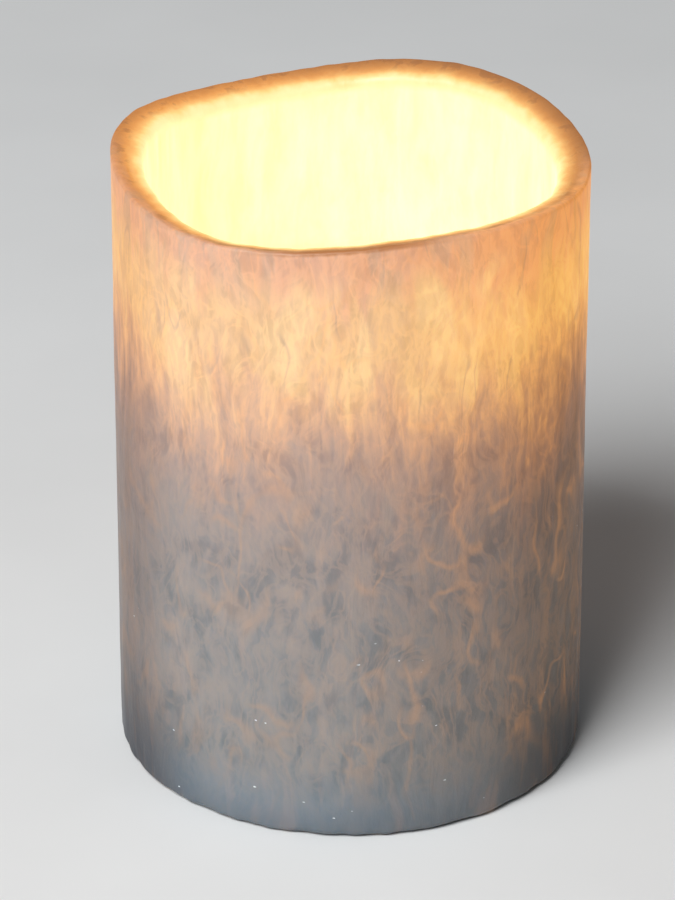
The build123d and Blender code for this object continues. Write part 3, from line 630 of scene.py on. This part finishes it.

# %% [markdown]
# A few crystal faces are given painted highlights: tiny white glints in the colour. A
# glint is the middle of a cell, with a ragged edge, and it is kept only where a slower
# noise is high.

# %% Wax: glints
ragged = w.cloud(w.place, 0.5, 1)["Fac"]
speck = w.cells(w.stretch(1, 1, 1.8, (0.0, 0.0, 0.2)), 3.4)["Distance"]
speck = w.shifted(ragged, 0.14, speck)
speck_here = w.step(w.cloud(w.stretch(1, 1, 1, (0.4, 0.0, 0.0)), 11, 1)["Fac"], 0.60, 0.64)
# Painted highlight: white glint spots put into the base colour.
glint = w.times(w.step(speck, 0.085, 0.045), speck_here, w.step(z_mm, 52.0, 36.0))
body = w.mix(glint, body, (0.80, 0.84, 0.88))
w.feed("Base Color", body)
print("wax colour done:", len(w.tree.nodes), "nodes")

# %% [markdown]
# The surface is nearly smooth, with a low relief of feathers, and a little glossier where
# a feather stands proud. The crumbly foot hardly mirrors anything, so it stays dull.

# %% Wax: relief
w.feed("Roughness", w.step(feather, 0.3, 0.7, 0.52, 0.38))
w.feed("Specular IOR Level", w.step(z_mm, 4.0, 30.0, 0.08, 0.4))
ripple = w.blend(feather, 0.5, barb, 0.3)
ripple = w.calc("MULTIPLY_ADD", w.cloud(w.place, 0.7, 2)["Fac"], 0.15, ripple)
w.relief(ripple, 0.3, 0.8)
wax.data.materials.append(w.material)
w.material.cycles.emission_sampling = "NONE"
print("wax finish:", len(w.tree.nodes), "nodes")

# %% [markdown]
# ## Hot-melt glue
# Three beads of hot-melt glue hold the plastic unit in its wax pocket. A real bead is
# squeezed from a gun: it swells and thins as the hand slows and hurries, and its ends are
# round. Each bead here is one section, swept along an arc between plastic and wax, with
# its height changed by soft noise and pinched to nothing at both ends.

# %% Glue beads
glue_low, glue_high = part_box("foot_adhesive")
GLUE_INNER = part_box("unit_housing")[1][0]
GLUE_OUTER = POCKET_RADIUS
BEAD_STARTS = (70.5, 190.5, 310.5)
BEAD_SPAN = 39.0
BEAD_STEPS = 72
BEAD_SIDES = 16


def bead_points(start, number):
    """Rings of points for one bead that begins at this turn, in degrees."""
    middle = (GLUE_INNER + GLUE_OUTER) / 2
    half_width = (GLUE_OUTER - GLUE_INNER) / 2
    rings = []
    for step in range(BEAD_STEPS + 1):
        along = step / BEAD_STEPS
        turn = radians(start + BEAD_SPAN * along)
        swell = 0.80 + 0.20 * noise.noise(Vector((along * 6.0, number * 3.1, 0.0)))
        pinch = max(0.02, sqrt(max(0.0, 1.0 - abs(2 * along - 1) ** 8)))
        height = (glue_high[2] - glue_low[2]) * swell * pinch
        ring = []
        for side in range(BEAD_SIDES):
            lean = 2 * pi * side / BEAD_SIDES
            squared = 0.35 * MM * noise.noise(Vector((along * 14.0, lean, number * 2.0)))
            radius = middle + half_width * pinch * max(-1.0, min(1.0, 1.3 * cos(lean)))
            rise = glue_low[2] + height * 0.5 * (1.0 + max(-1.0, min(1.0, 1.12 * sin(lean))))
            rise = max(glue_low[2], min(glue_high[2], rise + squared * max(0.0, sin(lean)) * pinch))
            ring.append((radius * cos(turn), radius * sin(turn), rise))
        rings.append(ring)
    return rings


glue_points, glue_faces = [], []
for number, start in enumerate(BEAD_STARTS):
    first = len(glue_points)
    rings = bead_points(start, number)
    glue_points += [point for ring in rings for point in ring]
    for step in range(BEAD_STEPS):
        for side in range(BEAD_SIDES):
            here = first + step * BEAD_SIDES + side
            beside = first + step * BEAD_SIDES + (side + 1) % BEAD_SIDES
            glue_faces.append((here, beside, beside + BEAD_SIDES, here + BEAD_SIDES))
    glue_faces.append(tuple(range(first + BEAD_SIDES - 1, first - 1, -1)))
    last = first + BEAD_STEPS * BEAD_SIDES
    glue_faces.append(tuple(range(last, last + BEAD_SIDES)))
glue_mesh = bpy.data.meshes.new("glue_beads")
glue_mesh.from_pydata(glue_points, [], glue_faces)
glue_mesh.polygons.foreach_set("use_smooth", [True] * len(glue_faces))
glue = bpy.data.objects.new("glue_beads", glue_mesh)
scene.collection.objects.link(glue)
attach(glue, "candle")
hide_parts("foot_adhesive")
print("glue beads:", len(glue_faces), "faces")

# %% [markdown]
# ## Plastics
# The unit is injection moulded. A moulded face isn't flat colour: it has a fine spark
# grain from the tool, faint flow marks from the gate, and a skin a little shinier
# where the plastic was packed hardest. One recipe makes them all, and only the
# colour, the gloss and the size of the grain change.


# %% Moulded plastic
dressed = []


def dress(finish, *names):
    """Gives a finish to CAD nodes by their own material slots."""
    for name in names:
        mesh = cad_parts[name].data
        if not mesh.materials:
            mesh.materials.append(finish.material)
        for index in range(len(mesh.materials)):
            mesh.materials[index] = finish.material
        dressed.append(name)


def moulded(name, colour, rough, grain_mm, depth_mm, shade=0.06):
    """Injection-moulded plastic with spark grain and flow marks."""
    f = Finish(name, {"Specular IOR Level": 0.5})
    flow = f.cloud(f.stretch(1, 0.4, 1), 9, 3, 0.5, 0.8)["Fac"]
    dark = tuple(c * (1 - 2 * shade) for c in colour)
    f.feed("Base Color", f.tint(flow, [(0.30, dark), (0.70, colour)]))
    spark = f.cloud(f.place, grain_mm, 3, 0.6)["Fac"]
    skin = f.blend(spark, 0.5, flow, 0.5)
    f.feed("Roughness", f.step(skin, 0.35, 0.65, rough - 0.08, rough + 0.10))
    f.relief(spark, depth_mm)
    return f


dress(moulded("cream_moulding", (0.78, 0.73, 0.63), 0.48, 0.28, 0.05), "base_plate", "battery_door")
dress(moulded("white_moulding", (0.76, 0.74, 0.70), 0.45, 0.45, 0.04), "unit_housing", "unit_cap")
dress(moulded("holder_moulding", (0.84, 0.82, 0.78), 0.40, 0.30, 0.03), "led_holder")
dress(moulded("black_knob", (0.035, 0.035, 0.037), 0.42, 0.22, 0.04, 0.15), "switch_knob")
dress(moulded("chip_epoxy", (0.030, 0.030, 0.033), 0.62, 0.12, 0.03, 0.2), "timer_chip")
dress(moulded("resistor_glaze", (0.045, 0.045, 0.048), 0.30, 0.20, 0.01, 0.2), "board_resistors")
print("nodes dressed so far:", len(dressed))

# %% [markdown]
# ## The lens and the LED
# The flame-shaped lens is frosted plastic. The LED inside lights it most round its
# widest part, and the light dies away towards the tip. The lens is part of
# what one sees down in the bowl, so it gets a glow of its own, ribbed very finely up its
# length by the tool marks that frost it.

# %% Lens and LED
lens_low, lens_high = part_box("flame_lens")
frosted = Finish("frosted_lens", {
    "Specular IOR Level": 0.5,
    "Subsurface Weight": 0.2,
    "Subsurface Scale": 0.002,
    "Emission Strength": 1.0,
})
lens_z = frosted.node("ShaderNodeSeparateXYZ", {0: frosted.place}).outputs["Z"]
ribs = frosted.cloud(frosted.stretch(1, 1, 0.05), 0.5, 2)["Fac"]
frost = frosted.cloud(frosted.place, 0.25, 3, 0.7)["Fac"]
climb = frosted.shifted(ribs, 2.0 * MM, lens_z)
frosted.feed("Emission Color", frosted.tint(frosted.step(climb, lens_low[2], lens_high[2]), [
    (0.0, (0.90, 0.52, 0.16)),
    (0.35, (1.00, 0.86, 0.46)),
    (0.55, (1.00, 0.94, 0.62)),
    (0.8, (1.00, 0.78, 0.36)),
    (1.0, (0.98, 0.62, 0.22)),
]))
frosted.feed("Base Color", frosted.tint(frost, [(0.3, (0.55, 0.44, 0.28)), (0.7, (0.66, 0.55, 0.38))]))
frosted.feed("Roughness", frosted.step(frost, 0.3, 0.7, 0.35, 0.6))
frosted.relief(frosted.blend(ribs, 0.6, frost, 0.4), 0.06)
dress(frosted, "flame_lens")

epoxy = Finish("led_epoxy", {"Specular IOR Level": 0.6, "Emission Strength": 1.3})
swirl = epoxy.cloud(epoxy.place, 1.2, 3)["Fac"]
epoxy.feed("Base Color", epoxy.tint(swirl, [(0.3, (0.80, 0.58, 0.22)), (0.7, (0.95, 0.80, 0.42))]))
epoxy.feed("Emission Color", epoxy.tint(swirl, [(0.3, (1.0, 0.78, 0.38)), (0.7, (1.0, 0.90, 0.58))]))
epoxy.feed("Roughness", epoxy.step(swirl, 0.3, 0.7, 0.10, 0.2))
epoxy.relief(swirl, 0.02)
dress(epoxy, "led")
print("lens from", round(lens_low[2] / MM, 1), "to", round(lens_high[2] / MM, 1), "mm")

# %% [markdown]
# ## Glue and wires
# Hot-melt glue is milky and glossy. Wire insulation is soft PVC with drag lines along it.

# %% Glue and insulation
hot_melt = Finish("hot_melt", {
    "Subsurface Weight": 0.4,
    "Subsurface Scale": 0.003,
    "Specular IOR Level": 0.55,
})
milk = hot_melt.cloud(hot_melt.place, 2.2, 3, 0.5, 0.6)["Fac"]
hot_melt.feed("Base Color", hot_melt.tint(milk, [(0.3, (0.62, 0.57, 0.44)), (0.7, (0.80, 0.76, 0.64))]))
hot_melt.feed("Roughness", hot_melt.step(milk, 0.3, 0.7, 0.16, 0.34))
hot_melt.relief(milk, 0.25)
glue.data.materials.append(hot_melt.material)
dress(hot_melt, "top_adhesive")


def insulation(name, colour):
    """PVC wire insulation with drag lines along its length."""
    f = Finish(name, {"Specular IOR Level": 0.5})
    drag = f.cloud(f.stretch(1, 1, 0.12), 0.4, 2)["Fac"]
    pale = tuple(min(1.0, c * 1.35 + 0.01) for c in colour)
    f.feed("Base Color", f.tint(drag, [(0.3, colour), (0.7, pale)]))
    f.feed("Roughness", f.step(drag, 0.3, 0.7, 0.30, 0.46))
    f.relief(drag, 0.03)
    return f


dress(insulation("red_insulation", (0.50, 0.035, 0.025)), "red_cell_wire", "red_led_wire")
dress(insulation("black_insulation", (0.022, 0.022, 0.022)), "black_cell_wire", "black_led_wire")
print("nodes dressed so far:", len(dressed))

# %% [markdown]
# ## The cells
# The cells wear a printed sleeve with one plain pale band, shrunk over a steel can that
# shows at both ends. Everything on it is placed by its distance from the cell's minus end,
# in millimetres: the right cell stands with that end up, and the left one with it down.

# %% Cell sleeve
SLEEVE_START, SLEEVE_END = 0.5, 48.7
BAND_START, BAND_END = 35.1, 40.1
BLUR = 0.1
right_cell, left_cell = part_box("aa_cell_right"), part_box("aa_cell_left")
sleeve = Finish("cell_sleeve", {"Specular IOR Level": 0.5})
spot = sleeve.node("ShaderNodeSeparateXYZ", {0: sleeve.place}).outputs
from_minus_left = sleeve.calc("SUBTRACT", spot["Z"], left_cell[0][2])
from_minus_right = sleeve.calc("SUBTRACT", right_cell[1][2], spot["Z"])
is_right = sleeve.calc("GREATER_THAN", spot["X"], 0.0)
choose = {0: is_right, 2: from_minus_left, 3: from_minus_right}
from_minus = sleeve.node("ShaderNodeMix", choose, data_type="FLOAT").outputs[0]
from_minus = sleeve.calc("MULTIPLY", from_minus, 1 / MM)
bare_start = sleeve.step(from_minus, SLEEVE_START + BLUR, SLEEVE_START - BLUR)
bare_end = sleeve.step(from_minus, SLEEVE_END - BLUR, SLEEVE_END + BLUR)
bare = sleeve.calc("MAXIMUM", bare_start, bare_end)
after_start = sleeve.step(from_minus, BAND_START - BLUR, BAND_START + BLUR)
before_end = sleeve.step(from_minus, BAND_END + BLUR, BAND_END - BLUR)
band = sleeve.times(after_start, before_end)
print_dots = sleeve.cloud(sleeve.place, 0.35, 2)["Fac"]
ink = sleeve.tint(print_dots, [(0.3, (0.48, 0.32, 0.12)), (0.7, (0.58, 0.41, 0.18))])
ink = sleeve.mix(band, ink, (0.80, 0.76, 0.66))
sleeve.feed("Base Color", sleeve.mix(bare, ink, (0.66, 0.65, 0.63)))
sleeve.feed("Metallic", sleeve.step(bare, 0.0, 1.0, 0.25, 1.0))
scuff = sleeve.cloud(sleeve.stretch(1, 1, 3), 1.5, 4, 0.7)["Fac"]
sleeve.feed("Roughness", sleeve.step(scuff, 0.3, 0.7, 0.24, 0.42))
sleeve.relief(sleeve.blend(scuff, 0.5, print_dots, 0.2), 0.03)
dress(sleeve, "aa_cell_left", "aa_cell_right")
print("nodes dressed so far:", len(dressed))

# %% [markdown]
# ## Metals
# Screws, springs, contacts, wire ends and cans are plated. Plating follows the drawn or
# rolled metal below it, so it has faint lines one way, and handling dulls it in clouds.


# %% Plated metal
def plated(name, colour, rough, lines, depth_mm=0.02):
    """Plated metal; lines is the stretch that turns soft noise into drawing lines."""
    f = Finish(name, {"Metallic": 1.0})
    drawn = f.cloud(f.stretch(*lines), 0.35, 3, 0.6)["Fac"]
    handled = f.cloud(f.place, 4.0, 3)["Fac"]
    dull = tuple(c * 0.78 for c in colour)
    f.feed("Base Color", f.tint(handled, [(0.32, dull), (0.66, colour)]))
    near_edge_wall_glow = f.blend(drawn, 0.6, handled, 0.4)
    f.feed("Roughness", f.step(near_edge_wall_glow, 0.3, 0.7, rough - 0.08, rough + 0.14))
    f.relief(drawn, depth_mm)
    return f


zinc = plated("zinc_screws", (0.66, 0.66, 0.68), 0.32, (1, 1, 0.2))
dress(zinc, "housing_screws", "cap_screws", "board_screws")
nickel = plated("nickel_contacts", (0.74, 0.71, 0.66), 0.24, (0.15, 1, 1))
dress(nickel, "positive_contact", "negative_contact", "negative_spring", "bridge_contact", "door_spring")
tin = plated("tinned_ends", (0.74, 0.74, 0.72), 0.34, (1, 1, 0.2))
dress(tin, "led_legs", "chip_legs", "switch_pins")
can = plated("plated_can", (0.70, 0.69, 0.67), 0.28, (0.2, 1, 1))
dress(can, "timing_crystal", "switch_can")
print("nodes dressed so far:", len(dressed))

# %% [markdown]
# ## The timer board
# Green solder mask over glass cloth. Copper tracks below the mask show as slightly
# lighter, raised lines, and the weave of the cloth shows through as a fine check. The
# capacitor wears a dark shrunk film, and the top of its can stays bare.

# %% Board and capacitor
board = Finish("solder_mask", {"Coat Weight": 0.3, "Coat Roughness": 0.15})
maze = board.cells(board.stretch(1, 1, 0.01), 2.6, "DISTANCE_TO_EDGE")["Distance"]
track = board.step(maze, 0.10, 0.06)
weave_place = {"Vector": board.place, "Scale": 1 / (0.5 * MM)}
weave = board.node("ShaderNodeTexChecker", weave_place).outputs["Fac"]
flow = board.cloud(board.place, 3, 2)["Fac"]
mask_green = board.tint(flow, [(0.3, (0.02, 0.12, 0.05)), (0.7, (0.03, 0.16, 0.07))])
board.feed("Base Color", board.mix(board.times(track, 0.7), mask_green, (0.06, 0.27, 0.11)))
board.feed("Roughness", board.step(track, 0.0, 1.0, 0.38, 0.26))
board.relief(board.calc("MULTIPLY_ADD", weave, 0.15, track), 0.04)
dress(board, "timer_board")

cap_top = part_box("board_capacitor")[1][2]
jacket = Finish("capacitor_jacket", {"Specular IOR Level": 0.55})
jacket_z = jacket.node("ShaderNodeSeparateXYZ", {0: jacket.place}).outputs["Z"]
bare_top = jacket.step(jacket_z, cap_top - 0.25 * MM, cap_top - 0.2 * MM)
crinkle = jacket.cloud(jacket.stretch(1, 1, 0.3), 0.6, 3)["Fac"]
film = jacket.tint(crinkle, [(0.3, (0.02, 0.025, 0.06)), (0.7, (0.04, 0.05, 0.11))])
jacket.feed("Base Color", jacket.mix(bare_top, film, (0.72, 0.72, 0.72)))
jacket.feed("Metallic", bare_top)
jacket.feed("Roughness", jacket.step(crinkle, 0.3, 0.7, 0.20, 0.34))
jacket.relief(crinkle, 0.03)
dress(jacket, "board_capacitor")
remade = ("wax_shell", "foot_adhesive")
plain_left = [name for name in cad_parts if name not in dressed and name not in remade]
print("nodes dressed:", len(dressed), "and left plain:", plain_left)
